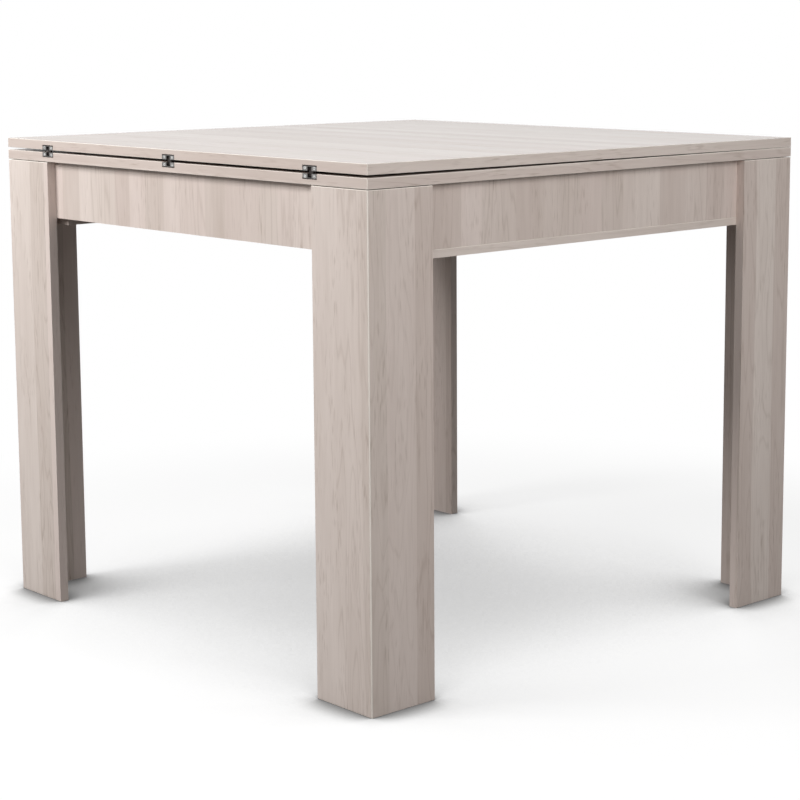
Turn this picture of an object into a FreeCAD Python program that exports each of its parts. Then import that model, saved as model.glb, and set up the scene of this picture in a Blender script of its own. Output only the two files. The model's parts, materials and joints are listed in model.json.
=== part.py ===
import FreeCAD
import Part
import Sketcher
import math
import os

from FreeCAD import Placement, Rotation, Vector

doc = FreeCAD.newDocument("swivel_extending_table")

# Driving dimensions in millimetres, one cell each
SIZES = {
    # The whole table, top closed
    "total_height": 760,
    "top_side": 900,
    # The two leaves of the folding top
    "leaf_thickness": 15,
    "band_thickness": 1,
    "band_edge_radius": 0.8,
    "hinge_gap": 4,
    "far_gap": 0.3,
    # Legs, each two mitred boards in an L
    "leg_board": 15,
    "leg_width": 117,
    "mitre_arris": 1.2,
    "end_arris": 0.8,
    # Apron frame and its rails
    "apron_board": 15,
    "apron_height": 90,
    "bottom_rail_board": 15,
    "bottom_rail_width": 113,
    "pivot_rail_board": 15,
    "pivot_rail_width": 120,
    "cleat_depth": 15,
    "cleat_height": 15,
    # Slide pads between the frame and the turning top
    "slide_pad_length": 60,
    "slide_pad_width": 11,
    "slide_pad_thickness": 1,
    "slide_pad_inset": 200,
    "slide_clearance": 0.1,
    # Swivel under the lower leaf
    "swivel_plate_side": 90,
    "swivel_plate_thickness": 2.5,
    "swivel_plate_corner": 8,
    "swivel_screw_spacing": 68,
    "swivel_disc_radius": 28,
    "swivel_disc_thickness": 1,
    "swivel_angle": 90,
    "pivot_radius": 6,
    "pivot_head_radius": 12,
    "pivot_head_height": 3,
    "pivot_clearance": 0.05,
    "pivot_end": 4,
    "washer_radius": 12,
    "washer_thickness": 2,
    "nut_radius": 10.4,
    "nut_height": 9,
    "stop_circle_radius": 35,
    "stop_pin_radius": 2.5,
    "stop_clearance": 0.3,
    # Link hinges on the edge of the leaves
    "hinge_inset": 120,
    "hinge_width": 30,
    "hinge_plate_height": 7.2,
    "hinge_plate_thickness": 2,
    "hinge_screw_spacing": 20,
    "hinge_pin_setback": 4.4,
    "hinge_pin_depth": 3.2,
    "hinge_pin_radius": 1,
    "hinge_pin_clearance": 0.03,
    "link_eye_radius": 2,
    "link_bar": 3,
    "link_width": 8.4,
    "link_clearance": 0.4,
    "ear_width": 3,
    "ear_back": 2.2,
    "mortise_clearance": 0.6,
    # Screws: shank radius, head radius and length under and with the head
    "small_screw_radius": 1.2,
    "small_screw_head": 2.4,
    "small_screw_length": 14,
    "plate_screw_radius": 1.8,
    "plate_screw_head": 3.4,
    "plate_screw_length": 12,
    "rail_screw_radius": 2,
    "rail_screw_head": 4,
    "rail_screw_length": 35,
    "cleat_screw_length": 25,
    "leg_screw_radius": 2,
    "leg_screw_head": 4.5,
    "leg_screw_head_height": 2.5,
    "leg_screw_length": 24,
    "leg_screw_inset": 75,
    "leg_screw_upper": 22,
    "leg_screw_lower": 55,
    "rail_screw_inset": 150,
    "cleat_screw_spacing": 80,
    "screw_tip": 1.5,
    "screw_clearance": 0.05,
    "head_sink": 0.1,
    # How far a cut runs past the face that it opens
    "cut_overrun": 1,
}

sheet = doc.addObject("Spreadsheet::Sheet", "Sizes")
for row, (alias, number) in enumerate(SIZES.items(), start=1):
    sheet.set(f"A{row}", alias)
    sheet.set(f"B{row}", str(number))
    sheet.setAlias(f"B{row}", alias)
doc.recompute()


class Size:
    """A value from the sheet together with the expression that gives it."""

    def __init__(self, value, text):
        self.value = value
        self.text = text

    def __add__(self, other):
        return Size(self.value + other.value, f"({self.text} + {other.text})")

    def __sub__(self, other):
        return Size(self.value - other.value, f"({self.text} - {other.text})")

    def __mul__(self, share):
        return Size(self.value * share, f"({self.text} * {share})")

    def __neg__(self):
        return self * -1


def size(alias):
    return Size(float(sheet.get(alias)), f"Sizes.{alias}")


ZERO = Size(0.0, "0")
overrun = size("cut_overrun")

# Helpers for bodies, sketches and features
pieces = []


def new_body(label):
    body = doc.addObject("PartDesign::Body", label)
    body.Label = label
    pieces.append(body)
    return body


def add_sketch(body, plane_role, lift=ZERO):
    """An empty sketch on an origin plane of the body, lifted along the plane's normal."""
    sketch = body.newObject("Sketcher::SketchObject", "sketch")
    plane = next(part for part in body.Origin.OriginFeatures if part.Role == plane_role)
    sketch.AttachmentSupport = [(plane, "")]
    sketch.MapMode = "FlatFace"
    sketch.AttachmentOffset = Placement(Vector(0, 0, lift.value), Rotation())
    sketch.setExpression("AttachmentOffset.Base.z", lift.text)
    return sketch


def bind(sketch, constraint, text):
    index = sketch.addConstraint(constraint)
    sketch.setExpression(f"Constraints[{index}]", text)


def fix_point(sketch, curve, end, x, y):
    for kind, axis, length in (("DistanceX", -2, x), ("DistanceY", -1, y)):
        if length.value == 0:
            sketch.addConstraint(Sketcher.Constraint("PointOnObject", curve, end, axis))
        elif length.value > 0:
            bind(sketch, Sketcher.Constraint(kind, -1, 1, curve, end, length.value), length.text)
        else:
            length = -length
            bind(sketch, Sketcher.Constraint(kind, curve, end, -1, 1, length.value), length.text)


def draw_outline(sketch, points):
    """A closed outline of straight lines, every corner tied to the sheet."""
    first = sketch.GeometryCount
    count = len(points)
    corners = [Vector(x.value, y.value, 0) for x, y in points]
    for index in range(count):
        sketch.addGeometry(Part.LineSegment(corners[index], corners[(index + 1) % count]))
    for index in range(count):
        following = first + (index + 1) % count
        sketch.addConstraint(Sketcher.Constraint("Coincident", first + index, 2, following, 1))
    for index, (x, y) in enumerate(points):
        fix_point(sketch, first + index, 1, x, y)


def rectangle(left, low, right, high):
    return [(left, low), (right, low), (right, high), (left, high)]


def draw_circle(sketch, x, y, radius):
    circle = Part.Circle(Vector(x.value, y.value, 0), Vector(0, 0, 1), radius.value)
    curve = sketch.addGeometry(circle)
    bind(sketch, Sketcher.Constraint("Radius", curve, radius.value), radius.text)
    fix_point(sketch, curve, 3, x, y)


def add_feature(body, kind, sketch, length, backwards=False):
    """A Pad or a Pocket of the sketch; a Pocket has to take something away."""
    before = body.Shape.Volume if kind == "Pocket" else 0
    feature = body.newObject(f"PartDesign::{kind}", kind.lower())
    feature.Profile = sketch
    feature.Length = length.value
    feature.setExpression("Length", length.text)
    feature.Reversed = backwards
    doc.recompute()
    if kind == "Pocket" and not body.Shape.Volume < before:
        raise RuntimeError(f"{body.Label}: a pocket took nothing away")
    return feature


def pad_outline(body, points, length, plane_role="XY_Plane", lift=ZERO):
    sketch = add_sketch(body, plane_role, lift)
    draw_outline(sketch, points)
    return add_feature(body, "Pad", sketch, length)


def pad_circle(body, x, y, radius, length, plane_role="XY_Plane", lift=ZERO):
    sketch = add_sketch(body, plane_role, lift)
    draw_circle(sketch, x, y, radius)
    return add_feature(body, "Pad", sketch, length)


def cut_holes(body, centres, radius, depth, plane_role, lift=ZERO, backwards=False):
    sketch = add_sketch(body, plane_role, lift)
    for x, y in centres:
        draw_circle(sketch, x, y, radius)
    return add_feature(body, "Pocket", sketch, depth, backwards)


def cut_outlines(body, outlines, depth, lift, backwards=False):
    sketch = add_sketch(body, "XY_Plane", lift)
    for points in outlines:
        draw_outline(sketch, points)
    return add_feature(body, "Pocket", sketch, depth, backwards)


def revolve(body, points):
    """A turned piece: the outline, drawn in X and Z, goes round the Z axis."""
    sketch = add_sketch(body, "XZ_Plane")
    draw_outline(sketch, points)
    feature = body.newObject("PartDesign::Revolution", "revolution")
    feature.Profile = sketch
    feature.ReferenceAxis = (sketch, ["V_Axis"])
    doc.recompute()
    return feature


def dress_edges(body, kind, base, wanted, amount):
    """Fillet or chamfer the edges of the base feature that the test wants."""
    names = [f"Edge{i}" for i, edge in enumerate(base.Shape.Edges, start=1) if wanted(edge)]
    feature = body.newObject(f"PartDesign::{kind}", kind.lower())
    feature.Base = (base, names)
    dimension = "Radius" if kind == "Fillet" else "Size"
    setattr(feature, dimension, amount.value)
    feature.setExpression(dimension, amount.text)
    doc.recompute()
    return feature


def place(body, x, y, z, turn=0):
    """Stand a body at a point of the table, turned about the vertical by whole degrees."""
    body.Placement = Placement(Vector(x.value, y.value, z.value), Rotation(Vector(0, 0, 1), turn))
    for axis, length in (("x", x), ("y", y), ("z", z)):
        body.setExpression(f"Placement.Base.{axis}", length.text)


def group(label, template, placements):
    """One node of like fasteners, each a separate solid made from the template."""
    doc.recompute()
    node = doc.addObject("Part::Feature", label)
    node.Label = label
    copies = []
    for placement in placements:
        copy = template.Shape.copy()
        copy.Placement = placement.multiply(copy.Placement)
        copies.append(copy)
    node.Shape = Part.makeCompound(copies)
    pieces.append(node)
    return node


def near(a, b):
    return abs(a - b) < overrun.value / 1000


# Levels and half sizes that several pieces share
top_side = size("top_side")
half_top = top_side * 0.5
quarter_top = top_side * 0.25
leaf = size("leaf_thickness")
band = size("band_thickness")
hinge_gap = size("hinge_gap")
upper_leaf_z = size("total_height") - leaf
lower_leaf_z = upper_leaf_z - hinge_gap - leaf
frame_top = lower_leaf_z - size("slide_clearance") - size("slide_pad_thickness")
leg_board = size("leg_board")
leg_width = size("leg_width")
apron_board = size("apron_board")
apron_height = size("apron_height")
apron_z = frame_top - apron_height
frame_outer = half_top - leg_board
frame_inner = frame_outer - apron_board
screw_clearance = size("screw_clearance")
leg_screw_place = half_top - size("leg_screw_inset")
leg_screw_drops = (size("leg_screw_upper"), size("leg_screw_lower"))
leg_screw_hole = size("leg_screw_radius") + screw_clearance
rail_screw_hole = size("rail_screw_radius") + screw_clearance
rail_screw_reach = half_top - size("rail_screw_inset")
side_apron_height = apron_height - size("bottom_rail_board")
SIDES = ("front", "right", "rear", "left")
HALF_SPREAD_SHARES = (-0.5, 0.5)
ROW_SHARES = (-1, 0, 1)

# Legs: two boards mitred along the outer corner, screwed to the aprons from inside.
# The paper is broken off along the mitre and at the two ends, which shows as pale lines
arris = size("mitre_arris")
leg_profile = [
    (arris, ZERO),
    (leg_width, ZERO),
    (leg_width, leg_board),
    (leg_board, leg_board),
    (arris * 0.5, arris * 0.5),
]
pilot_depth = size("leg_screw_length") - apron_board + overrun * 0.5


def leg_panel(label, along_x):
    body = new_body(label)
    points = leg_profile if along_x else [(y, x) for x, y in reversed(leg_profile)]
    pad_outline(body, points, frame_top)
    centres = [(size("leg_screw_inset"), frame_top - drop) for drop in leg_screw_drops]
    if along_x:
        holes = cut_holes(body, centres, leg_screw_hole, pilot_depth, "XZ_Plane", -leg_board, backwards=True)
    else:
        holes = cut_holes(body, centres, leg_screw_hole, pilot_depth, "YZ_Plane", leg_board)
    dress_edges(body, "Chamfer", holes, lambda edge: near(edge.BoundBox.ZLength, 0)
                and near(edge.BoundBox.YMax if along_x else edge.BoundBox.XMax, 0), size("end_arris"))
    return body


LEGS = (
    ("front_left_leg", "front", "side", -half_top, -half_top),
    ("front_right_leg", "side", "front", half_top, -half_top),
    ("rear_right_leg", "rear", "side", half_top, half_top),
    ("rear_left_leg", "side", "rear", -half_top, half_top),
)
for quarter, (leg, first_face, second_face, x, y) in enumerate(LEGS):
    place(leg_panel(f"{leg}_{first_face}_panel", True), x, y, ZERO, 90 * quarter)
    place(leg_panel(f"{leg}_{second_face}_panel", False), x, y, ZERO, 90 * quarter)

# Aprons: the outer face of each lies against the inner faces of the leg boards
cleat_screw_spacing = size("cleat_screw_spacing")
cleat_z = lower_leaf_z - size("swivel_plate_thickness") * 2 - size("swivel_disc_thickness") \
    - size("pivot_rail_board") - size("cleat_height")
cleat_screw_z = cleat_z + size("cleat_height") * 0.5
cleat_pilot = size("cleat_screw_length") - size("cleat_depth") + overrun * 0.5
rail_pilot = size("rail_screw_length") - size("bottom_rail_board") + overrun * 0.5


def apron(side, half_length, height):
    body = new_body(f"{side}_apron")
    pad_outline(body, rectangle(-half_length, ZERO, half_length, apron_board), height)
    centres = [(leg_screw_place * share, height - drop) for share in (-1, 1) for drop in leg_screw_drops]
    cut_holes(body, centres, leg_screw_hole, apron_board + overrun, "XZ_Plane")
    return body


def cut_cleat_pilots(body, rail_x):
    centres = [(rail_x + cleat_screw_spacing * share, cleat_screw_z - apron_z) for share in HALF_SPREAD_SHARES]
    cut_holes(body, centres, rail_screw_hole, cleat_pilot, "XZ_Plane", -apron_board, backwards=True)


def cut_rail_pilots(body):
    centres = [(rail_screw_reach * share, apron_board * 0.5) for share in ROW_SHARES]
    cut_holes(body, centres, rail_screw_hole, rail_pilot, "XY_Plane", backwards=True)


side_apron_z = apron_z + size("bottom_rail_board")
front_apron = apron("front", frame_outer, apron_height)
cut_cleat_pilots(front_apron, -quarter_top)
place(front_apron, ZERO, -frame_outer, apron_z)
right_apron = apron("right", frame_inner, side_apron_height)
cut_rail_pilots(right_apron)
place(right_apron, frame_outer, ZERO, side_apron_z, 90)
rear_apron = apron("rear", frame_outer, apron_height)
cut_cleat_pilots(rear_apron, quarter_top)
place(rear_apron, ZERO, frame_outer, apron_z, 180)
left_apron = apron("left", frame_inner, side_apron_height)
cut_rail_pilots(left_apron)
place(left_apron, -frame_outer, ZERO, side_apron_z, 270)

# Bottom rails: flat boards under the side aprons, screwed up into them from below
for side, x, turn in (("right", frame_outer, 90), ("left", -frame_outer, 270)):
    body = new_body(f"{side}_bottom_rail")
    outline = rectangle(-frame_inner, ZERO, frame_inner, size("bottom_rail_width"))
    rail = pad_outline(body, outline, size("bottom_rail_board"))
    centres = [(rail_screw_reach * share, apron_board * 0.5) for share in ROW_SHARES]
    holes = cut_holes(body, centres, rail_screw_hole, size("bottom_rail_board"), "XY_Plane", backwards=True)
    sink = size("rail_screw_head") - size("rail_screw_radius")
    sunk = dress_edges(body, "Chamfer", holes, lambda edge: edge.BoundBox.ZMax < overrun.value / 1000
                       and edge.Curve.TypeId == "Part::GeomCircle", sink)
    upper_face = size("bottom_rail_board").value
    dress_edges(body, "Chamfer", sunk, lambda edge: near(edge.BoundBox.ZMin, upper_face)
                and near(edge.BoundBox.YMax, 0), size("end_arris"))
    place(body, x, ZERO, apron_z, turn)

# Pivot rail: carries the swivel, hung between the front and rear aprons on two cleats
pivot_rail_z = cleat_z + size("cleat_height")
pivot_hole = size("pivot_radius") + size("pivot_clearance")
plate_screw_hole = size("plate_screw_radius") + screw_clearance
swivel_screw_spacing = size("swivel_screw_spacing")
swivel_corners = [(swivel_screw_spacing * a, swivel_screw_spacing * b)
                  for a in HALF_SPREAD_SHARES for b in HALF_SPREAD_SHARES]
plate_thickness = size("swivel_plate_thickness")
plate_pilot = size("plate_screw_length") - plate_thickness + overrun * 0.5
pivot_rail = new_body("pivot_rail")
rail_half = size("pivot_rail_width") * 0.5
rail_front = -(frame_inner - quarter_top)
rail_rear = frame_inner + quarter_top
pad_outline(pivot_rail, rectangle(-rail_half, rail_front, rail_half, rail_rear), size("pivot_rail_board"))
cut_holes(pivot_rail, [(ZERO, ZERO)], pivot_hole, size("pivot_rail_board"), "XY_Plane", backwards=True)
cut_holes(pivot_rail, swivel_corners, plate_screw_hole, plate_pilot, "XY_Plane", size("pivot_rail_board"))
place(pivot_rail, -quarter_top, -quarter_top, pivot_rail_z)

for side, y, turn in (("front", -frame_inner, 0), ("rear", frame_inner, 180)):
    body = new_body(f"{side}_rail_cleat")
    pad_outline(body, rectangle(-rail_half, ZERO, rail_half, size("cleat_depth")), size("cleat_height"))
    centres = [(cleat_screw_spacing * share, size("cleat_height") * 0.5) for share in HALF_SPREAD_SHARES]
    holes = cut_holes(body, centres, rail_screw_hole, size("cleat_depth"), "XZ_Plane")
    inner_face = size("cleat_depth").value
    dress_edges(body, "Chamfer", holes, lambda edge: edge.Curve.TypeId == "Part::GeomCircle"
                and near(edge.BoundBox.YMin, inner_face), size("rail_screw_head") - size("rail_screw_radius"))
    place(body, -quarter_top, y, cleat_z, turn)

# Slide pads: thin nylon strips on the aprons that the top glides over
slide_pad = doc.addObject("Part::Box", "slide_pad")
for edge, alias in (("Length", "slide_pad_length"), ("Width", "slide_pad_width"),
                    ("Height", "slide_pad_thickness")):
    slide_pad.setExpression(edge, f"Sizes.{alias}")
pad_centre = Vector(size("slide_pad_length").value / 2, size("slide_pad_width").value / 2, 0)
pad_line = (frame_outer - apron_board * 0.5).value
pad_reach = half_top - size("slide_pad_inset")
pad_places = []
for quarter in range(len(SIDES)):
    turn = Placement(Vector(0, 0, 0), Rotation(Vector(0, 0, 1), 90 * quarter))
    for share in (-1, 1):
        spot = Vector(share * pad_reach.value, -pad_line, frame_top.value)
        pad_places.append(turn.multiply(Placement(spot - pad_centre, Rotation())))
group("slide_pads", slide_pad, pad_places)

# Screw templates: countersunk wood screws and a pan head screw, all pointing up along Z
def countersunk_screw(label, radius, head, length):
    body = doc.addObject("PartDesign::Body", label)
    tip = size("screw_tip")
    cone = head - radius
    sink = size("head_sink")
    outline = [(ZERO, sink), (head - sink, sink), (radius, cone), (radius, length - tip), (ZERO, length)]
    revolve(body, outline)
    return body


small_screw = countersunk_screw("small_screw", size("small_screw_radius"), size("small_screw_head"),
                                size("small_screw_length"))
plate_screw = countersunk_screw("plate_screw", size("plate_screw_radius"), size("plate_screw_head"),
                                size("plate_screw_length"))
rail_screw = countersunk_screw("rail_screw", size("rail_screw_radius"), size("rail_screw_head"),
                               size("rail_screw_length"))
cleat_screw = countersunk_screw("cleat_screw", size("rail_screw_radius"), size("rail_screw_head"),
                                size("cleat_screw_length"))
leg_screw = doc.addObject("PartDesign::Body", "leg_screw")
leg_screw_outline = [
    (ZERO, -size("leg_screw_head_height")),
    (size("leg_screw_head"), -size("leg_screw_head_height")),
    (size("leg_screw_head"), ZERO),
    (size("leg_screw_radius"), ZERO),
    (size("leg_screw_radius"), size("leg_screw_length") - size("screw_tip")),
    (ZERO, size("leg_screw_length")),
]
revolve(leg_screw, leg_screw_outline)

# Frame screws: leg boards to aprons, rails to side aprons, cleats to aprons
outward = Rotation(Vector(1, 0, 0), 90)
leg_screw_places = []
for quarter in range(len(SIDES)):
    turn = Placement(Vector(0, 0, 0), Rotation(Vector(0, 0, 1), 90 * quarter))
    for share in (-1, 1):
        for drop in leg_screw_drops:
            spot = Vector(share * leg_screw_place.value, -frame_inner.value, (frame_top - drop).value)
            leg_screw_places.append(turn.multiply(Placement(spot, outward)))
group("leg_screws", leg_screw, leg_screw_places)

rail_screw_places = []
for share_x in (-1, 1):
    for share in ROW_SHARES:
        spot = Vector(share_x * pad_line, share * rail_screw_reach.value, apron_z.value)
        rail_screw_places.append(Placement(spot, Rotation()))
group("bottom_rail_screws", rail_screw, rail_screw_places)

cleat_screw_places = []
for share_y in (-1, 1):
    for share in HALF_SPREAD_SHARES:
        x = -quarter_top.value + share * cleat_screw_spacing.value
        y = share_y * (frame_inner - size("cleat_depth")).value
        facing = Rotation(Vector(1, 0, 0), -90 * share_y)
        cleat_screw_places.append(Placement(Vector(x, y, cleat_screw_z.value), facing))
group("cleat_screws", cleat_screw, cleat_screw_places)

# Swivel: two steel plates with a nylon disc between, on one turned pivot with a nut below
plate_half = size("swivel_plate_side") * 0.5
disc = size("swivel_disc_thickness")
stop_circle = size("stop_circle_radius")
stop_hole = size("stop_pin_radius") + size("pivot_clearance")
base_plate_z = pivot_rail_z + size("pivot_rail_board")
top_plate_z = lower_leaf_z - plate_thickness
plate_sink = size("plate_screw_head") - size("plate_screw_radius")


def swivel_plate(label, sink_level):
    """A square plate with rounded corners, a pivot hole and four countersunk screw holes."""
    body = new_body(label)
    plate = pad_outline(body, rectangle(-plate_half, -plate_half, plate_half, plate_half), plate_thickness)
    height = plate_thickness.value
    dress_edges(body, "Fillet", plate, lambda edge: near(edge.BoundBox.ZLength, height),
                size("swivel_plate_corner"))
    cut_holes(body, [(ZERO, ZERO)], pivot_hole, plate_thickness, "XY_Plane", backwards=True)
    holes = cut_holes(body, swivel_corners, plate_screw_hole, plate_thickness, "XY_Plane", backwards=True)
    narrow = plate_screw_hole.value * 2
    dress_edges(body, "Chamfer", holes, lambda edge: near(edge.BoundBox.ZMax, sink_level)
                and near(edge.BoundBox.ZMin, sink_level) and near(edge.BoundBox.XLength, narrow), plate_sink)
    return body


top_plate = swivel_plate("swivel_top_plate", 0)
cut_holes(top_plate, [(stop_circle, ZERO)], stop_hole, plate_thickness, "XY_Plane", backwards=True)
place(top_plate, -quarter_top, -quarter_top, top_plate_z)

base_plate = swivel_plate("swivel_base_plate", plate_thickness.value)
slot_half = size("stop_pin_radius") + size("stop_clearance")
slot_ends = [(stop_circle, ZERO), (ZERO, stop_circle)]
cut_holes(base_plate, slot_ends, slot_half, plate_thickness, "XY_Plane", backwards=True)
slot_sketch = add_sketch(base_plate, "XZ_Plane")
draw_outline(slot_sketch, rectangle(stop_circle - slot_half, -overrun, stop_circle + slot_half,
                                    plate_thickness + overrun))
before_slot = base_plate.Shape.Volume
slot = base_plate.newObject("PartDesign::Groove", "stop_slot")
slot.Profile = slot_sketch
slot.ReferenceAxis = (slot_sketch, ["V_Axis"])
slot.setExpression("Angle", "Sizes.swivel_angle")
doc.recompute()
place(base_plate, -quarter_top, -quarter_top, base_plate_z)

swivel_disc = new_body("swivel_disc")
pad_circle(swivel_disc, ZERO, ZERO, size("swivel_disc_radius"), disc)
cut_holes(swivel_disc, [(ZERO, ZERO)], pivot_hole, disc, "XY_Plane", backwards=True)
place(swivel_disc, -quarter_top, -quarter_top, base_plate_z + plate_thickness)

pivot_radius = size("pivot_radius")
washer_z = pivot_rail_z - size("washer_thickness")
nut_z = washer_z - size("nut_height")
pivot_foot = nut_z - size("pivot_end")
pivot_pin = new_body("pivot_pin")
revolve(pivot_pin, [
    (ZERO, ZERO),
    (pivot_radius, ZERO),
    (pivot_radius, lower_leaf_z - pivot_foot),
    (size("pivot_head_radius"), lower_leaf_z - pivot_foot),
    (size("pivot_head_radius"), lower_leaf_z - pivot_foot + size("pivot_head_height")),
    (ZERO, lower_leaf_z - pivot_foot + size("pivot_head_height")),
])
place(pivot_pin, -quarter_top, -quarter_top, pivot_foot)

pivot_washer = new_body("pivot_washer")
pad_circle(pivot_washer, ZERO, ZERO, size("washer_radius"), size("washer_thickness"))
cut_holes(pivot_washer, [(ZERO, ZERO)], pivot_hole, size("washer_thickness"), "XY_Plane", backwards=True)
place(pivot_washer, -quarter_top, -quarter_top, washer_z)

pivot_nut = new_body("pivot_nut")
nut_radius = size("nut_radius")
corner_shares = [(math.cos(math.radians(60 * turn)), math.sin(math.radians(60 * turn))) for turn in range(6)]
hexagon = [(nut_radius * round(a, 9), nut_radius * round(b, 9)) for a, b in corner_shares]
pad_outline(pivot_nut, hexagon, size("nut_height"))
cut_holes(pivot_nut, [(ZERO, ZERO)], pivot_hole, size("nut_height"), "XY_Plane", backwards=True)
place(pivot_nut, -quarter_top, -quarter_top, nut_z)

stop_pin = new_body("stop_pin")
stop_pin_foot = base_plate_z + size("stop_clearance")
pad_circle(stop_pin, ZERO, ZERO, size("stop_pin_radius"), lower_leaf_z - stop_pin_foot)
place(stop_pin, stop_circle - quarter_top, -quarter_top, stop_pin_foot)

swivel_spots = [(-quarter_top.value + a.value, -quarter_top.value + b.value) for a, b in swivel_corners]
group("swivel_top_screws", plate_screw,
      [Placement(Vector(x, y, top_plate_z.value), Rotation()) for x, y in swivel_spots])
downward = Rotation(Vector(1, 0, 0), 180)
base_screw_level = (base_plate_z + plate_thickness).value
group("swivel_base_screws", plate_screw,
      [Placement(Vector(x, y, base_screw_level), downward) for x, y in swivel_spots])

# The upper leaf lies tilted: propped by its hinges, resting at the far edge
setback = size("hinge_pin_setback")
pin_depth = size("hinge_pin_depth")
plate_height = size("hinge_plate_height")
hinge_board = size("hinge_plate_thickness")
lower_pin_z = lower_leaf_z + leaf - pin_depth
upper_pin_z = upper_leaf_z + pin_depth
pin_y = -(half_top - setback)
tilt_share = (hinge_gap.value - size("far_gap").value) / (top_side.value - setback.value)
tilt = Placement(Vector(0, 0, 0), Rotation(Vector(1, 0, 0), -math.degrees(math.asin(tilt_share))),
                 Vector(0, pin_y.value, upper_pin_z.value))


def place_on_upper_leaf(body, x, y, z, rotation=Rotation()):
    body.Placement = tilt.multiply(Placement(Vector(x.value, y.value, z.value), rotation))


# Leaves: a board with mortises for the hinges along its front edge
hinge_reach = half_top - size("hinge_inset")
hinge_places = [hinge_reach * share for share in ROW_SHARES]
mortise = size("mortise_clearance")
hinge_half = size("hinge_width") * 0.5
ear_inner = size("link_width") * 0.5 + size("link_clearance")
ear_outer = ear_inner + size("ear_width")
ear_end = setback + size("ear_back")
screw_x = size("hinge_screw_spacing") * 0.5
screw_z = plate_height * 0.5
small_screw_hole = size("small_screw_radius") + screw_clearance
small_pilot = size("small_screw_length") - hinge_board + overrun * 0.5
half_core = half_top - band
mortise_depth = plate_height + mortise


def mortise_outline(x):
    """Seen from above: the plate's bed along the edge, and the deeper bed of its two ears."""
    edge = -(half_top + overrun)
    plate_back = hinge_board - half_top
    ears_back = ear_end + mortise - half_top
    wide = hinge_half + mortise
    deep = ear_outer + mortise
    return [(x - wide, edge), (x + wide, edge), (x + wide, plate_back), (x + deep, plate_back),
            (x + deep, ears_back), (x - deep, ears_back), (x - deep, plate_back), (x - wide, plate_back)]


def leaf_board(label, mortises_up):
    body = new_body(label)
    pad_outline(body, rectangle(-half_core, -half_core, half_core, half_core), leaf)
    level = leaf if mortises_up else ZERO
    outlines = [mortise_outline(x) for x in hinge_places]
    cut_outlines(body, outlines, mortise_depth, level, backwards=not mortises_up)
    hole_z = leaf - screw_z if mortises_up else screw_z
    centres = [(x + screw_x * share, hole_z) for x in hinge_places for share in (-1, 1)]
    cut_holes(body, centres, small_screw_hole, small_pilot, "XZ_Plane", half_top - hinge_board)
    return body


def leaf_band(label, half_length, notches_up=None):
    """Edge band with rounded outer edges; a long one has the leaf's corners, a front one the hinge notches."""
    body = new_body(label)
    strip = pad_outline(body, rectangle(-half_length, ZERO, half_length, band), leaf)
    length = half_length.value * 2
    has_corners = near(half_length.value, half_top.value)
    dress_edges(body, "Fillet", strip, lambda edge: near(edge.BoundBox.YMax, 0)
                and (has_corners or near(edge.BoundBox.XLength, length)), size("band_edge_radius"))
    if notches_up is not None:
        level = leaf if notches_up else ZERO
        wide = hinge_half + mortise
        outlines = [rectangle(x - wide, -overrun, x + wide, band + overrun) for x in hinge_places]
        cut_outlines(body, outlines, mortise_depth, level, backwards=not notches_up)
    return body


lower_leaf = leaf_board("lower_leaf", True)
head_recess = size("pivot_head_height") + size("stop_clearance")
cut_holes(lower_leaf, [(-quarter_top, -quarter_top)], size("pivot_head_radius") + size("stop_clearance"),
          head_recess, "XY_Plane", backwards=True)
leaf_pilots = [(a - quarter_top, b - quarter_top) for a, b in swivel_corners]
cut_holes(lower_leaf, leaf_pilots, plate_screw_hole, plate_pilot, "XY_Plane", backwards=True)
place(lower_leaf, ZERO, ZERO, lower_leaf_z)
upper_leaf = leaf_board("upper_leaf", False)
place_on_upper_leaf(upper_leaf, ZERO, ZERO, upper_leaf_z)

band_spots = ((ZERO, -half_top), (half_top, ZERO), (ZERO, half_top), (-half_top, ZERO))
for quarter, side in enumerate(SIDES):
    half_length = half_core if quarter % 2 else half_top
    x, y = band_spots[quarter]
    is_front = side == "front"
    place(leaf_band(f"lower_leaf_{side}_band", half_length, True if is_front else None),
          x, y, lower_leaf_z, 90 * quarter)
    place_on_upper_leaf(leaf_band(f"upper_leaf_{side}_band", half_length, False if is_front else None),
                        x, y, upper_leaf_z, Rotation(Vector(0, 0, 1), 90 * quarter))

# Link hinges: a plate in each leaf's edge, and between them a link on two pins
link_length = hinge_gap + pin_depth * 2
pin_hole = size("hinge_pin_radius") + size("hinge_pin_clearance")
link_half = size("link_width") * 0.5
eye_radius = size("link_eye_radius")
slot_depth = pin_depth + eye_radius + size("link_clearance")
hinge_sink = size("small_screw_head") - size("small_screw_radius")


def hinge_plate(label):
    """Cast plate, its gap side up: screw holes, a slot for the link and two ears for the pin."""
    body = new_body(label)
    profile = [
        (-hinge_half, ZERO), (hinge_half, ZERO), (hinge_half, hinge_board), (ear_outer, hinge_board),
        (ear_outer, ear_end), (ear_inner, ear_end), (ear_inner, hinge_board), (-ear_inner, hinge_board),
        (-ear_inner, ear_end), (-ear_outer, ear_end), (-ear_outer, hinge_board), (-hinge_half, hinge_board),
    ]
    pad_outline(body, profile, plate_height)
    opening = rectangle(-ear_inner, -overrun, ear_inner, hinge_board + overrun)
    cut_outlines(body, [opening], slot_depth, plate_height)
    bore_start = -(ear_outer + overrun)
    cut_holes(body, [(setback, plate_height - pin_depth)], pin_hole, (ear_outer + overrun) * 2,
              "YZ_Plane", bore_start, backwards=True)
    centres = [(screw_x * share, screw_z) for share in (-1, 1)]
    holes = cut_holes(body, centres, small_screw_hole, hinge_board, "XZ_Plane")
    dress_edges(body, "Chamfer", holes, lambda edge: near(edge.BoundBox.YMax, 0)
                and edge.Curve.TypeId == "Part::GeomCircle", hinge_sink)
    return body


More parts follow.
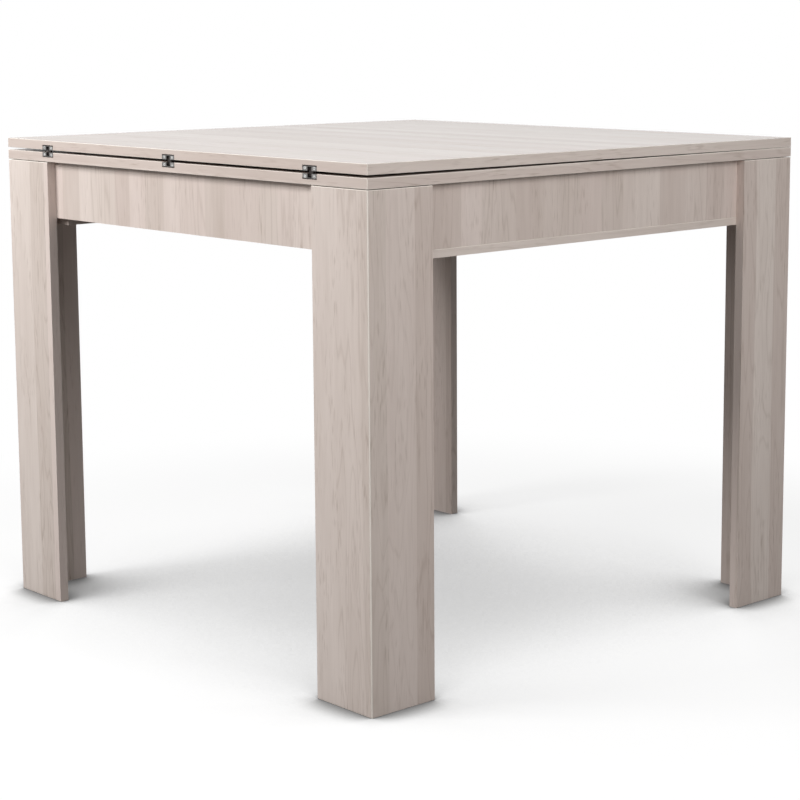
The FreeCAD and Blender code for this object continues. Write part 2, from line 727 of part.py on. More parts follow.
def hinge_link(label):
    body = new_body(label)
    half_bar = size("link_bar") * 0.5
    bar = rectangle(-half_bar, ZERO, half_bar, link_length)
    pad_outline(body, bar, size("link_width"), "YZ_Plane", -link_half)
    for z in (ZERO, link_length):
        pad_circle(body, ZERO, z, eye_radius, size("link_width"), "YZ_Plane", -link_half)
    cut_holes(body, [(ZERO, ZERO), (ZERO, link_length)], pin_hole, size("link_width"),
              "YZ_Plane", -link_half, backwards=True)
    return body


def hinge_pin(label):
    body = new_body(label)
    pad_circle(body, ZERO, ZERO, size("hinge_pin_radius"), ear_outer * 2, "YZ_Plane", -ear_outer)
    return body


turned_over = Rotation(Vector(0, 1, 0), 180)
for name, x in zip(("left_hinge", "middle_hinge", "right_hinge"), hinge_places):
    place(hinge_plate(f"{name}_lower_plate"), x, -half_top, lower_leaf_z + leaf - plate_height)
    place_on_upper_leaf(hinge_plate(f"{name}_upper_plate"), x, -half_top, upper_leaf_z + plate_height,
                        turned_over)
    place(hinge_link(f"{name}_link"), x, pin_y, lower_pin_z)
    place(hinge_pin(f"{name}_lower_pin"), x, pin_y, lower_pin_z)
    place_on_upper_leaf(hinge_pin(f"{name}_upper_pin"), x, pin_y, upper_pin_z)

inward = Rotation(Vector(1, 0, 0), -90)
lower_screw_z = (lower_leaf_z + leaf - screw_z).value
upper_screw_z = (upper_leaf_z + screw_z).value
hinge_screw_x = [(x + screw_x * share).value for x in hinge_places for share in (-1, 1)]
group("lower_hinge_screws", small_screw,
      [Placement(Vector(x, -half_top.value, lower_screw_z), inward) for x in hinge_screw_x])
group("upper_hinge_screws", small_screw,
      [tilt.multiply(Placement(Vector(x, -half_top.value, upper_screw_z), inward)) for x in hinge_screw_x])

# Check the document, then write one file per piece
doc.recompute()
for item in doc.Objects:
    if "Invalid" in item.State or "Error" in item.State:
        raise RuntimeError(f"{item.Label} failed: {item.State}")
if not base_plate.Shape.Volume < before_slot:
    raise RuntimeError("the stop slot took nothing away")
for piece in pieces:
    if piece.Shape.isNull() or not piece.Shape.isValid():
        raise RuntimeError(f"{piece.Label} has no valid shape")
os.makedirs("parts", exist_ok=True)
for piece in pieces:
    piece.Shape.exportStep(f"parts/{piece.Label}.step")
print(len(pieces), "pieces written")
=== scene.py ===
import cmath
import json
import math

import bmesh
import bpy
from mathutils import Matrix, Vector


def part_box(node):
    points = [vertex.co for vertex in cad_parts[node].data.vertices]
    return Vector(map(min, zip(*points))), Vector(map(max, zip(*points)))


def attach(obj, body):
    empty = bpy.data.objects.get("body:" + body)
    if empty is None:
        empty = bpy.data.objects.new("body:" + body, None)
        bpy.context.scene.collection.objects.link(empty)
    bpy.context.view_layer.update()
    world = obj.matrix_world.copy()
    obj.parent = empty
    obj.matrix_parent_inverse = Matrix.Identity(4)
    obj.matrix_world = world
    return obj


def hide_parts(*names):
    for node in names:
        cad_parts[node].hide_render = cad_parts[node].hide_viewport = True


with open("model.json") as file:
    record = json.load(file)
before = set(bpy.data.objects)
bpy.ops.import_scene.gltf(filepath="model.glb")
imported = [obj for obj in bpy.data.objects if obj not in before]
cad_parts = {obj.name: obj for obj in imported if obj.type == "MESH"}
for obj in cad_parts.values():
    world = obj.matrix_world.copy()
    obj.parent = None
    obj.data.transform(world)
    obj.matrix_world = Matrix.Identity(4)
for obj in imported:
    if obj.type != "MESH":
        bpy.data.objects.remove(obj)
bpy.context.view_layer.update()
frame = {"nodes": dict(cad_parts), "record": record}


# Leg boards.
# Each leg is two 15 mm boards mitred into an L, made of chipboard faced with melamine paper.
# They are screwed to the apron frame from inside, and the paper's grain stands upright.
def linear(hex_colour):
    """An sRGB hex colour as linear RGBA."""
    channels = [int(hex_colour[i:i + 2], 16) / 255 for i in (1, 3, 5)]
    return [c / 12.92 if c <= 0.04045 else ((c + 0.055) / 1.055) ** 2.4 for c in channels] + [1.0]


def add_node(tree, kind, inputs=None, **settings):
    """A shader node. An input takes a value, a socket, or a node, which gives its first live output."""
    node = tree.nodes.new(f"ShaderNode{kind}")
    for name, value in settings.items():
        setattr(node, name, value)
    for key, value in (inputs or {}).items():
        live = [socket for socket in node.inputs if socket.enabled]
        socket = live[key] if isinstance(key, int) else next(s for s in live if s.name == key)
        if isinstance(value, bpy.types.Node):
            value = next(s for s in value.outputs if s.enabled)
        if isinstance(value, bpy.types.NodeSocket):
            tree.links.new(value, socket)
        else:
            socket.default_value = value
    return node


def new_material(name):
    """A material with an empty node tree."""
    material = bpy.data.materials.new(name)
    material.use_nodes = True
    material.node_tree.nodes.clear()
    return material, material.node_tree


def streaks(tree, place, along, width_mm, length_mm, detail, shift):
    """Noise drawn out along the grain into streaks of the given width and length."""
    scale = [MM_PER_METRE / width_mm] * 3
    scale["XYZ".index(along)] = MM_PER_METRE / length_mm
    stretched = add_node(tree, "Mapping", {"Vector": place, "Scale": scale,
                                           "Location": [shift] * 3})
    return add_node(tree, "TexNoise", {"Vector": stretched, "Scale": 1.0, "Detail": detail})


MM_PER_METRE = 1000
PAPER_PALE = linear("#e5d9d1")
PAPER_DEEP = linear("#b3a398")
PAPER_BLUSH = linear("#d5c1bb")
# The paler arris: partly scraped paper, partly a painted highlight.
PAPER_ARRIS_WEAR_AND_HIGHLIGHT = linear("#f7efe6")
PAPER_TONE = 0.43
BLUSH_SHARE = 0.3
ARRIS_FACING = 0.97

# Width and length in mm of each pattern along the grain, its detail, and a shift that parts it
# from the others.
WANDER = (60, 700, 1, 2.2)
CLOUD = (50, 300, 2, 0.0)
GRAIN = (5.5, 80, 3, 7.3)
PORE = (2.6, 26, 1, 5.7)
PORE_PATCH = (28, 150, 1, 3.1)
SWELL = (55, 620, 2, 1.9)

# How the patterns are cut: where pores, their patches and veined staves begin and are full,
# how far stave edges wander, and how many veins there are and how broad.
STAVE_MM = 46
STAVE_BLUR = 0.02
STAVE_WANDER = 0.35
PORE_CUT = (0.55, 0.72)
PATCH_CUT = (0.42, 0.62)
VEINED_CUT = (0.45, 0.60)
VEINS = 14.0
VEIN_HALF_STEP = 0.5
VEIN_BREADTH = 0.13

# The share that each layer has in the print's tone, and the value about which it swings.
PRINT_LAYERS = {
    "stave": (0.40, 0.5),
    "cloud": (0.42, 0.5),
    "grain": (0.36, 0.5),
    "pores": (0.42, 0.1),
    "vein": (0.26, 0.1),
}

# The press leaves the sheen a little uneven, and the grain just to be felt.
PRESS_UNEVEN = 0.04
RELIEF_DEPTH = 0.0001
RELIEF_PER_ROUGHNESS = 0.25


# Melamine paper printed as bleached oak: pressed hard and satin, so the grain is mostly colour.
# The eye sees staves of 30 to 60 mm with clear edges, clouds, broken grain, pores in patches, veins.
# The real pores are 0.3 mm wide, too fine to show, so they are drawn 2.6 mm wide.
# Where an arris is broken, at a slant to the faces, it is paler: scraped paper and a painted highlight.
def melamine_oak(name, along, roughness, figure=1.0, cut_from=0.0):
    """The paper: the axis of its grain, its figure's strength, and where it is cut from in metres."""
    material, tree = new_material(name)
    where = add_node(tree, "TexCoord")
    place = add_node(tree, "VectorMath", {0: where.outputs["Object"], 1: [cut_from] * 3},
                     operation="ADD")

    # Staves side by side across the grain, each with chance values of its own.
    across_axes = [float(axis != along) for axis in "XYZ"]
    across = add_node(tree, "VectorMath", {0: place, 1: across_axes}, operation="DOT_PRODUCT")
    wander = add_node(tree, "Math", {0: streaks(tree, place, along, *WANDER), 1: STAVE_WANDER},
                      operation="MULTIPLY")
    row = add_node(tree, "Math", {0: across, 1: MM_PER_METRE / STAVE_MM, 2: wander},
                   operation="MULTIPLY_ADD")
    stave = add_node(tree, "TexVoronoi", {"W": row, "Scale": 1.0, "Smoothness": STAVE_BLUR},
                     voronoi_dimensions="1D", feature="SMOOTH_F1")
    chance = add_node(tree, "SeparateColor", {"Color": stave.outputs["Color"]})

    # Clouds, broken grain, and pores in patches.
    cloud = streaks(tree, place, along, *CLOUD)
    grain = streaks(tree, place, along, *GRAIN)
    pores = add_node(tree, "MapRange", {"Value": streaks(tree, place, along, *PORE),
                                        "From Min": PORE_CUT[0], "From Max": PORE_CUT[1]})
    patch = add_node(tree, "MapRange", {"Value": streaks(tree, place, along, *PORE_PATCH),
                                        "From Min": PATCH_CUT[0], "From Max": PATCH_CUT[1]})
    pores = add_node(tree, "Math", {0: pores, 1: patch}, operation="MULTIPLY")

    # Veins, on some of the staves.
    swell = add_node(tree, "Math", {0: streaks(tree, place, along, *SWELL), 1: VEINS},
                     operation="MULTIPLY")
    ring = add_node(tree, "Math", {0: swell, 1: VEIN_HALF_STEP}, operation="PINGPONG")
    line = add_node(tree, "MapRange", {"Value": ring, "From Min": 0.0, "From Max": VEIN_BREADTH,
                                       "To Min": 1.0, "To Max": 0.0})
    veined = add_node(tree, "MapRange", {"Value": chance.outputs["Blue"],
                                         "From Min": VEINED_CUT[0], "From Max": VEINED_CUT[1]})
    vein = add_node(tree, "Math", {0: line, 1: veined}, operation="MULTIPLY")

    # The print: all layers in one tone from pale to deep, and more blush on one stave than the next.
    print_of = {"stave": chance.outputs["Red"], "cloud": cloud, "grain": grain, "pores": pores,
                "vein": vein}
    tone = PAPER_TONE - figure * sum(share * middle for share, middle in PRINT_LAYERS.values())
    for layer, (share, middle) in PRINT_LAYERS.items():
        tone = add_node(tree, "Math", {0: print_of[layer], 1: figure * share, 2: tone},
                        operation="MULTIPLY_ADD")
    paper = add_node(tree, "Mix", {"Factor": tone, "A": PAPER_PALE, "B": PAPER_DEEP},
                     data_type="RGBA")
    blush = add_node(tree, "Math", {0: chance.outputs["Green"], 1: BLUSH_SHARE},
                     operation="MULTIPLY")
    paper = add_node(tree, "Mix", {"Factor": blush, "A": paper, "B": PAPER_BLUSH}, data_type="RGBA")

    # The arrises, which face none of the three axes squarely: scraped paler, with a painted highlight.
    facing = add_node(tree, "VectorMath", {0: where.outputs["Normal"]}, operation="ABSOLUTE")
    axes = add_node(tree, "SeparateXYZ", {"Vector": facing})
    squarest = add_node(tree, "Math", {0: axes.outputs["X"], 1: axes.outputs["Y"]},
                        operation="MAXIMUM")
    squarest = add_node(tree, "Math", {0: squarest, 1: axes.outputs["Z"]}, operation="MAXIMUM")
    arris_wear_and_highlight = add_node(tree, "Math", {0: squarest, 1: ARRIS_FACING}, operation="LESS_THAN")
    paper = add_node(tree, "Mix", {"Factor": arris_wear_and_highlight, "A": paper, "B": PAPER_ARRIS_WEAR_AND_HIGHLIGHT}, data_type="RGBA")

    # Relief and sheen from the press.
    bump = add_node(tree, "Bump", {"Height": grain, "Strength": roughness * RELIEF_PER_ROUGHNESS,
                                   "Distance": RELIEF_DEPTH})
    sheen = add_node(tree, "MapRange", {"Value": cloud, "To Min": roughness - PRESS_UNEVEN,
                                        "To Max": roughness + PRESS_UNEVEN})
    shader = add_node(tree, "BsdfPrincipled", {"Base Color": paper, "Roughness": sheen,
                                               "Normal": bump})
    add_node(tree, "OutputMaterial", {"Surface": shader})
    return material


def dress(names, material):
    """Gives the named CAD pieces a material."""
    for name in names:
        for slot in frame["nodes"][name].material_slots:
            slot.material = material


BOARD_ROUGHNESS = 0.48
oak_upright = melamine_oak("melamine_oak_upright", "Z", BOARD_ROUGHNESS)
dress([name for name in frame["nodes"] if name.endswith("_panel")], oak_upright)


# Aprons.
# Four boards of the same paper on edge, set back behind the leg boards and screwed to them.
# Their grain stands upright too, so it runs on from leg to leg. The side ones are drawn down to
# the level of the front one, and the bottom rails under that.
def stand_in(mesh, name, node, material):
    """Shows a mesh in place of a CAD node, on the same body."""
    mesh.name = name
    mesh.materials.clear()
    mesh.materials.append(material)
    piece = bpy.data.objects.new(name, mesh)
    bpy.context.collection.objects.link(piece)
    bodies = frame["record"]["behaviour"]["bodies"]
    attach(piece, next(body for body, nodes in bodies.items() if node in nodes))
    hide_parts(node)


def redrawn_board(node, low, high, material):
    """Shows a CAD board between two other heights. What is close to its ends moves with them."""
    mesh = frame["nodes"][node].data.copy()
    foot, head = (corner.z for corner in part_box(node))
    for vert in mesh.vertices:
        if vert.co.z < foot + ARRIS_REACH:
            vert.co.z += low - foot
        elif vert.co.z > head - ARRIS_REACH:
            vert.co.z += high - head
    stand_in(mesh, f"{node}_board", node, material)


ARRIS_REACH = 0.004
frame_low, frame_high = (corner.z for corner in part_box("front_apron"))
dress(["front_apron", "rear_apron"], oak_upright)
for node in ("right_apron", "left_apron"):
    redrawn_board(node, frame_low, frame_high, oak_upright)

# Bottom rails and pivot rail.
# Flat boards of the same paper with the grain along their length. The bottom rails are screwed up
# into the side aprons, and the pivot rail lies on cleats between the front and rear aprons.
BOTTOM_RAIL = 0.012
oak_lengthwise = melamine_oak("melamine_oak_lengthwise", "Y", BOARD_ROUGHNESS)
dress(["pivot_rail"], oak_lengthwise)
for node in ("right_bottom_rail", "left_bottom_rail"):
    redrawn_board(node, frame_low - BOTTOM_RAIL, frame_low, oak_lengthwise)

# Rail cleats.
# Planed pine battens, screwed to the front and rear aprons to carry the ends of the pivot rail.
# Raw softwood: a warm straw colour with soft growth rings 4 mm apart, and no finish.
PINE_PALE = linear("#dcbf93")
PINE_RING = linear("#b98d5b")
PINE_ROUGHNESS = 0.7
RING_GRAIN = (4, 220, 3, 0.0)
RING_CUT = (0.35, 0.7)
pine, tree = new_material("planed_pine")
place = add_node(tree, "TexCoord").outputs["Object"]
rings = add_node(tree, "MapRange", {"Value": streaks(tree, place, "X", *RING_GRAIN),
                                    "From Min": RING_CUT[0], "From Max": RING_CUT[1]})
timber = add_node(tree, "Mix", {"Factor": rings, "A": PINE_PALE, "B": PINE_RING}, data_type="RGBA")
shader = add_node(tree, "BsdfPrincipled", {"Base Color": timber, "Roughness": PINE_ROUGHNESS})
add_node(tree, "OutputMaterial", {"Surface": shader})
dress(["front_rail_cleat", "rear_rail_cleat"], pine)

# Slide pads and swivel disc.
# Natural nylon, moulded: milky, a little see-through at the edges, and clouded over about 15 mm.
# The pads are stuck to the aprons, and the disc lies loose between the swivel plates.
NYLON_PALE = linear("#ebe8df")
NYLON_DEEP = linear("#d8d4c8")
NYLON_CLOUD_MM = 15
NYLON_DETAIL = 3.0
NYLON_ROUGHNESS = 0.45
NYLON_SEE_THROUGH = 0.1
NYLON_LIGHT_REACH = 0.002
nylon, tree = new_material("moulded_nylon")
place = add_node(tree, "TexCoord").outputs["Object"]
cloud = add_node(tree, "TexNoise", {"Vector": place, "Scale": MM_PER_METRE / NYLON_CLOUD_MM,
                                    "Detail": NYLON_DETAIL})
milk = add_node(tree, "Mix", {"Factor": cloud, "A": NYLON_PALE, "B": NYLON_DEEP}, data_type="RGBA")
shader = add_node(tree, "BsdfPrincipled", {"Base Color": milk, "Roughness": NYLON_ROUGHNESS,
                                           "Subsurface Weight": NYLON_SEE_THROUGH,
                                           "Subsurface Radius": [NYLON_LIGHT_REACH] * 3})
add_node(tree, "OutputMaterial", {"Surface": shader})
dress(["slide_pads", "swivel_disc"], nylon)


# Frame screws.
# Cross-head wood screws of zinc plated steel: pan heads through the aprons into the leg boards, and
# countersunk ones up through the bottom rails and through the cleats. Their threads are in the wood.
# Zinc gives a cool silver with a faint spangle of brighter and duller grains.
def zinc_plating(name, bright, dull, spangle_mm, roughness):
    """Zinc plating of two greys, brighter grains rougher than dull ones."""
    material, tree = new_material(name)
    place = add_node(tree, "TexCoord").outputs["Object"]
    spangle = add_node(tree, "TexVoronoi", {"Vector": place, "Scale": MM_PER_METRE / spangle_mm})
    grey = add_node(tree, "SeparateColor", {"Color": spangle.outputs["Color"]})
    sheen = add_node(tree, "MapRange", {"Value": grey, "To Min": roughness,
                                        "To Max": roughness + SPANGLE_UNEVEN})
    plating = add_node(tree, "Mix", {"Factor": grey, "A": linear(dull), "B": linear(bright)},
                       data_type="RGBA")
    shader = add_node(tree, "BsdfPrincipled", {"Base Color": plating, "Roughness": sheen,
                                               "Metallic": 1.0})
    add_node(tree, "OutputMaterial", {"Surface": shader})
    return material


def screw_places(node):
    """Where each screw of a CAD group is: the centre of its face, turned to point along +Z."""
    shape = bmesh.new()
    shape.from_mesh(frame["nodes"][node].data)
    bmesh.ops.remove_doubles(shape, verts=shape.verts, dist=WELD)
    places = []
    found = set()
    # Each screw is an island of joined points, and the end with more of them is its face.
    for start in shape.verts:
        if start in found:
            continue
        found.add(start)
        island = [start]
        for vert in island:
            near = [edge.other_vert(vert) for edge in vert.link_edges]
            fresh = [other for other in near if other not in found]
            found.update(fresh)
            island.extend(fresh)
        spots = [vert.co.copy() for vert in island]
        reach = [[side(spot[i] for spot in spots) for side in (min, max)] for i in range(3)]
        axis = max(range(3), key=lambda i: reach[i][1] - reach[i][0])
        ends = [[spot for spot in spots if abs(spot[axis] - level) < END_DEPTH]
                for level in reach[axis]]
        point_end, face_end = sorted(ends, key=len)
        face = sum(face_end, Vector()) / len(face_end)
        point = sum(point_end, Vector()) / len(point_end)
        turn = (point - face).to_track_quat("Z", "Y").to_matrix().to_4x4()
        places.append(Matrix.Translation(face) @ turn)
    shape.free()
    return places


def add_screw(shape, place, profile):
    """Adds a screw: radii and depths in mm from its face's rim to its point, and a cross recess."""
    def ring(corners, depth):
        spots = [Vector((c.real, c.imag, depth)) / MM_PER_METRE for c in corners]
        return [shape.verts.new(place @ spot) for spot in spots]

    def skirt(upper, lower):
        for i in range(len(upper)):
            shape.faces.new((upper[i - 1], upper[i], lower[i], lower[i - 1]))

    circle = [cmath.rect(1.0, math.tau * i / TURN_STEPS) for i in range(TURN_STEPS)]
    rings = [ring([radius * c for c in circle], depth) for radius, depth in profile[:-1]]
    for upper, lower in zip(rings, rings[1:]):
        skirt(upper, lower)
    point = ring([0j], profile[-1][1])[0]
    for i in range(TURN_STEPS):
        shape.faces.new((rings[-1][i - 1], rings[-1][i], point))
    face = profile[0][0]
    arm, half = CROSS_ARM * face, CROSS_HALF_WIDTH * face
    cross = [complex(x, y) * 1j ** quarter
             for quarter in range(4) for x, y in ((arm, -half), (arm, half), (half, half))]
    mouth = ring(cross, 0.0)
    bottom = ring([CROSS_TAPER * c for c in cross], CROSS_DEPTH * face)
    skirt(mouth, bottom)
    shape.faces.new(bottom)
    rims = [shape.edges.get((loop[i - 1], loop[i]))
            for loop in (rings[0], mouth) for i in range(len(loop))]
    bmesh.ops.triangle_fill(shape, edges=rims, use_beauty=True)


def countersunk(head, shank, length):
    """Profile of a screw whose head tapers at 45 degrees."""
    return [(head, 0.0), (shank, head - shank), (shank, length - POINT_MM), (0.0, length)]


def cross_head_screws(node, profile, material, lift=0.0):
    """Shows finished screws for a CAD group of screws, lifted where their board was redrawn."""
    shape = bmesh.new()
    for place in screw_places(node):
        add_screw(shape, Matrix.Translation((0, 0, lift)) @ place, profile)
    bmesh.ops.recalc_face_normals(shape, faces=shape.faces)
    mesh = bpy.data.meshes.new(node)
    shape.to_mesh(mesh)
    shape.free()
    mesh.shade_smooth()
    mesh.set_sharp_from_angle(angle=SHARP_TURN)
    stand_in(mesh, node.replace("screws", "cross_head_screws"), node, material)


SPANGLE_UNEVEN = 0.12
WELD = 1e-6
END_DEPTH = 1e-4
TURN_STEPS = 40
SHARP_TURN = math.radians(30)

# The cross recess in shares of the radius of the screw's face, and the screws' own sizes in mm.
CROSS_ARM = 0.58
CROSS_HALF_WIDTH = 0.15
CROSS_DEPTH = 0.5
CROSS_TAPER = 0.5
POINT_MM = 1.5
PAN_HEAD = [(3.3, 0.0), (4.1, 0.5), (4.5, 1.3), (4.5, 2.5), (2.0, 2.5), (2.0, 25.0), (0.0, 26.5)]
RAIL_SCREW = countersunk(head=3.9, shank=2.0, length=34.9)
CLEAT_SCREW = countersunk(head=3.9, shank=2.0, length=24.9)
zinc_steel = zinc_plating("zinc_plated_steel", bright="#c9ccd0", dull="#a9acb0", spangle_mm=2.5,
                          roughness=0.32)
cross_head_screws("leg_screws", PAN_HEAD, zinc_steel)
cross_head_screws("bottom_rail_screws", RAIL_SCREW, zinc_steel, lift=-BOTTOM_RAIL)
cross_head_screws("cleat_screws", CLEAT_SCREW, zinc_steel)

# Swivel.
# Two pressed steel plates, screwed to the pivot rail and to the lower leaf, turning on a pin with a
# washer and a nut. A stop pin runs in a quarter slot. All of it is zinc plated.
SWIVEL_SCREW = countersunk(head=3.3, shank=1.8, length=11.9)
dress(["swivel_top_plate", "swivel_base_plate"], zinc_steel)
dress(["pivot_pin", "pivot_washer", "pivot_nut", "stop_pin"], zinc_steel)
cross_head_screws("swivel_top_screws", SWIVEL_SCREW, zinc_steel)
cross_head_screws("swivel_base_screws", SWIVEL_SCREW, zinc_steel)

# Leaves of the folding top.
# Two equal boards of the same paper, the grain running along the hinge edge, each cut from its own
# place in the sheet. The paper is pressed smoother here, so at a low angle it mirrors the pale room.
TOP_ROUGHNESS = 0.24
TOP_FIGURE = 0.7
LOWER_CUT = 3.7
upper_oak = melamine_oak("smooth_melamine_oak", "X", TOP_ROUGHNESS, TOP_FIGURE)
lower_oak = melamine_oak("smooth_melamine_oak_lower", "X", TOP_ROUGHNESS, TOP_FIGURE, LOWER_CUT)
dress(["upper_leaf"], upper_oak)
dress(["lower_leaf"], lower_oak)

# Edge bands.
# Plastic strip 1 mm thick, glued round the leaves and printed with the same oak along its length.
# Its outer edges are scraped round, leaving a paler line along them that is partly a painted highlight.
band_crosswise = melamine_oak("printed_band_crosswise", "X", BOARD_ROUGHNESS)
band_lengthwise = melamine_oak("printed_band_lengthwise", "Y", BOARD_ROUGHNESS)
for leaf in ("lower_leaf", "upper_leaf"):
    dress([f"{leaf}_front_band", f"{leaf}_rear_band"], band_crosswise)
    dress([f"{leaf}_right_band", f"{leaf}_left_band"], band_lengthwise)

# Link hinges.
# Small cast plates let into the edges of the leaves, with a link on two pins in the slot between.
# Plates of dull grey zinc, screws and pins bright with painted glints, the link painted dark as shade.
HINGE_SCREW = countersunk(head=2.3, shank=1.2, length=13.9)
PLATE_EDGE = 0.0016
plate_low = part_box("middle_hinge_lower_plate")[0].z
plate_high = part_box("middle_hinge_upper_plate")[1].z
plate_reach = (plate_high - plate_low) / 2

# Cast zinc, dull and a little pitted: a mid grey, with painted shade along the plates' outer edges
# where they sit in their mortises. The pits are drawn 1.5 mm wide, because real ones are too fine to
# show.
CAST_DULL = linear("#6b6968")
CAST_BRIGHT = linear("#a5a3a1")
CAST_EDGE_SHADE = linear("#4a4543")
PIT_MM = 1.5
PIT_DETAIL = 2.0
PIT_ROUGHNESS = 0.42
FLAT_ROUGHNESS = 0.30
cast_zinc, tree = new_material("dull_cast_zinc")
place = add_node(tree, "TexCoord").outputs["Object"]
pits = add_node(tree, "TexNoise", {"Vector": place, "Scale": MM_PER_METRE / PIT_MM,
                                   "Detail": PIT_DETAIL})
casting = add_node(tree, "Mix", {"Factor": pits, "A": CAST_DULL, "B": CAST_BRIGHT}, data_type="RGBA")
height = add_node(tree, "SeparateXYZ", {"Vector": place}).outputs["Z"]
off_gap = add_node(tree, "Math", {0: height, 1: (plate_low + plate_high) / 2},
                   operation="SUBTRACT")
off_gap = add_node(tree, "Math", {0: off_gap}, operation="ABSOLUTE")
# Painted shade: darker towards the plates' outer edges.
painted_edge_shade = add_node(tree, "MapRange", {"Value": off_gap, "From Min": plate_reach - PLATE_EDGE,
                                   "From Max": plate_reach - PLATE_EDGE / 2})
casting = add_node(tree, "Mix", {"Factor": painted_edge_shade, "A": casting, "B": CAST_EDGE_SHADE}, data_type="RGBA")
sheen = add_node(tree, "MapRange", {"Value": pits, "To Min": PIT_ROUGHNESS, "To Max": FLAT_ROUGHNESS})
shader = add_node(tree, "BsdfPrincipled", {"Base Color": casting, "Roughness": sheen, "Metallic": 1.0})
add_node(tree, "OutputMaterial", {"Surface": shader})

# Bright zinc with coarse grains, whose brightest ones stand in as painted glints on screws and pins.
zinc_with_painted_glints = zinc_plating("zinc_with_painted_glints", bright="#f6f5f3", dull="#a8a8a6", spangle_mm=1.5,
                           roughness=0.22)
# The link's zinc is painted dark, as painted shade for its place set back in the slot.
link_shade_zinc = zinc_plating("zinc_painted_dark_as_shade", bright="#544e4c", dull="#3a3635", spangle_mm=1.5,
                         roughness=0.4)
for hinge in ("left_hinge", "middle_hinge", "right_hinge"):
    dress([f"{hinge}_lower_plate", f"{hinge}_upper_plate"], cast_zinc)
    dress([f"{hinge}_lower_pin", f"{hinge}_upper_pin"], zinc_with_painted_glints)
    dress([f"{hinge}_link"], link_shade_zinc)
cross_head_screws("lower_hinge_screws", HINGE_SCREW, zinc_with_painted_glints)
cross_head_screws("upper_hinge_screws", HINGE_SCREW, zinc_with_painted_glints)

# Studio floor.
# A pale paper floor that the camera and the gloss see as white, with the table's soft shadow painted on
# it, and painted shade close round the feet. Other light sees it as grey, away from the table it fades
# to plain white, and from below it is clear. Lengths are in metres.
FLOOR_HALF = 30.0
FLOOR_PALE = linear("#8a8a8a")
FLOOR_DIM = linear("#504e4c")
FADE_FROM = 0.8
FADE_TO = 1.4

# How far the floor looks for cover, how open it is in deep shadow and clear of it, and what that
# does: the painted glow from shadow to open floor, and the painted shade close to the feet.
SHADOW_REACH = 1.0
SHADOW_OPEN = (0.30, 0.80)
SHADOW_GLOW = (0.20, 0.78)
NOOK_REACH = 0.05
NOOK_OPEN = (0.5, 0.95)
NOOK_SHADE = 0.7
COVER_RAYS = 16
floor_mesh = bpy.data.meshes.new("studio_floor")
corners = [(x * FLOOR_HALF, y * FLOOR_HALF, 0.0) for x, y in ((-1, -1), (1, -1), (1, 1), (-1, 1))]
floor_mesh.from_pydata(corners, [], [(0, 1, 2, 3)])
floor = bpy.data.objects.new("studio_floor", floor_mesh)
bpy.context.collection.objects.link(floor)


def seen_directly(tree):
    """One for rays from the camera, by way of gloss or through glass, and nothing for the rest."""
    path = add_node(tree, "LightPath")
    seen = path.outputs["Is Camera Ray"]
    for kind in ("Is Glossy Ray", "Is Transmission Ray"):
        seen = add_node(tree, "Math", {0: seen, 1: path.outputs[kind]}, operation="MAXIMUM")
    return seen


studio_paper, tree = new_material("studio_paper")
place = add_node(tree, "TexCoord").outputs["Object"]
away = add_node(tree, "VectorMath", {0: place}, operation="LENGTH")
fade = add_node(tree, "MapRange", {"Value": away, "From Min": FADE_FROM, "From Max": FADE_TO},
                interpolation_type="SMOOTHSTEP")
# The table's shadow is painted from how open the floor is to the sky around it.
cover = add_node(tree, "AmbientOcclusion", {"Distance": SHADOW_REACH}, samples=COVER_RAYS)
shade = add_node(tree, "MapRange", {"Value": cover.outputs["AO"],
                                    "From Min": SHADOW_OPEN[0], "From Max": SHADOW_OPEN[1],
                                    "To Min": SHADOW_GLOW[0], "To Max": SHADOW_GLOW[1]},
                 interpolation_type="SMOOTHSTEP")
glow = add_node(tree, "Emission", {"Strength": shade})
pale = add_node(tree, "BsdfDiffuse", {"Color": FLOOR_PALE})
lit = add_node(tree, "AddShader", {0: pale, 1: glow})
dim = add_node(tree, "BsdfDiffuse", {"Color": FLOOR_DIM})
# Painted shade close round the feet, from how open the floor is within a few centimetres.
nook = add_node(tree, "AmbientOcclusion", {"Distance": NOOK_REACH}, samples=COVER_RAYS)
close = add_node(tree, "MapRange", {"Value": nook.outputs["AO"],
                                    "From Min": NOOK_OPEN[0], "From Max": NOOK_OPEN[1],
                                    "To Min": NOOK_SHADE, "To Max": 0.0})
lit = add_node(tree, "MixShader", {0: close, 1: lit, 2: dim})
white = add_node(tree, "Emission", {"Strength": 1.0})
shown = add_node(tree, "MixShader", {0: fade, 1: lit, 2: white})
paper = add_node(tree, "MixShader", {0: seen_directly(tree), 1: dim, 2: shown})
below = add_node(tree, "NewGeometry").outputs["Backfacing"]
clear = add_node(tree, "BsdfTransparent")
paper = add_node(tree, "MixShader", {0: below, 1: paper, 2: clear})
add_node(tree, "OutputMaterial", {"Surface": paper})
floor_mesh.materials.append(studio_paper)


# Studio light.
# A soft lamp stands on the hinge side, weaker ones on the right, in front and at the back.
# They are kept out of the gloss, so that the smooth top and the metal mirror the white room alone.
def softbox(name, place, side, watts):
    """A square soft lamp that looks at the table."""
    lamp = bpy.data.lights.new(name, "AREA")
    lamp.shape = "SQUARE"
    lamp.size = side
    lamp.energy = watts
    box = bpy.data.objects.new(name, lamp)
    box.location = place
    box.rotation_euler = (LAMP_TARGET - box.location).to_track_quat("-Z", "Y").to_euler()
    box.visible_glossy = False
    bpy.context.collection.objects.link(box)


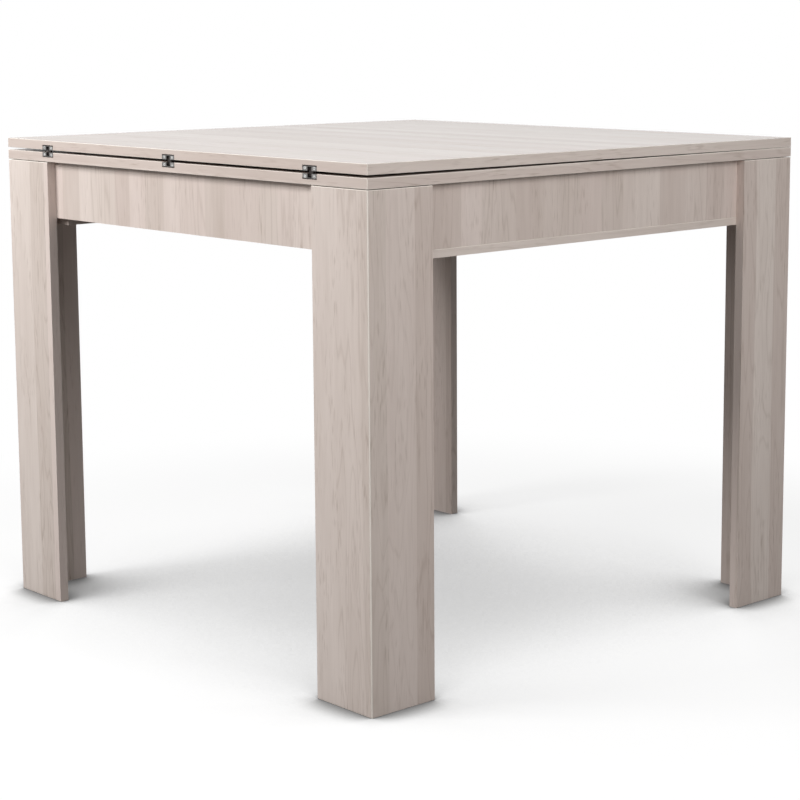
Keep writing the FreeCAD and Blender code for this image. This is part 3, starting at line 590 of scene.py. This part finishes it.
LAMP_TARGET = Vector((0.0, 0.0, 0.6))
softbox("key_softbox", place=(-0.75, -2.2, 1.8), side=1.0, watts=51.0)
softbox("side_softbox", place=(2.3, -0.2, 1.5), side=1.2, watts=26.0)
softbox("front_softbox", place=(1.4, -2.4, 1.7), side=1.4, watts=13.0)
softbox("back_softbox", place=(-2.0, 1.8, 2.1), side=1.4, watts=24.0)

# Studio room.
# Plain walls, white to the camera and in the gloss. To other light they are a dim fill, so that the
# lamps alone shape the boards.
ROOM_FILL = 0.12
ROOM_WHITE = linear("#ffffff")
world = bpy.data.worlds.new("studio_room")
bpy.context.scene.world = world
world.use_nodes = True
tree = world.node_tree
tree.nodes.clear()
fill = add_node(tree, "Background", {"Strength": ROOM_FILL, "Color": ROOM_WHITE})
white = add_node(tree, "Background", {"Strength": 1.0, "Color": ROOM_WHITE})
room = add_node(tree, "MixShader", {0: seen_directly(tree), 1: fill, 2: white})
add_node(tree, "OutputWorld", {"Surface": room})

# Camera.
# Just under a metre up, looking down a little at the front right leg, with a small drop of the lens
# that keeps the legs nearly upright. Lengths are in metres and angles in degrees.
CAMERA_PLACE = (2.49775, -2.21951, 0.94889)
CAMERA_TURN = 48.28
CAMERA_PITCH = 8.34
CAMERA_ROLL = -0.38
FOCAL_PIXELS = 2055.2
PICTURE_PIXELS = 800
LENS_DROP_PIXELS = 80
SENSOR_MM = 36.0
lens = bpy.data.cameras.new("camera")
lens.sensor_width = SENSOR_MM
lens.lens = FOCAL_PIXELS / PICTURE_PIXELS * SENSOR_MM
lens.shift_y = -LENS_DROP_PIXELS / PICTURE_PIXELS
camera = bpy.data.objects.new("camera", lens)
bpy.context.collection.objects.link(camera)
camera.matrix_world = (
    Matrix.Translation(CAMERA_PLACE)
    @ Matrix.Rotation(math.radians(CAMERA_TURN), 4, "Z")
    @ Matrix.Rotation(math.radians(90 - CAMERA_PITCH), 4, "X")
    @ Matrix.Rotation(math.radians(CAMERA_ROLL), 4, "Z")
)
bpy.context.scene.camera = camera
bpy.context.scene.view_settings.view_transform = "Standard"
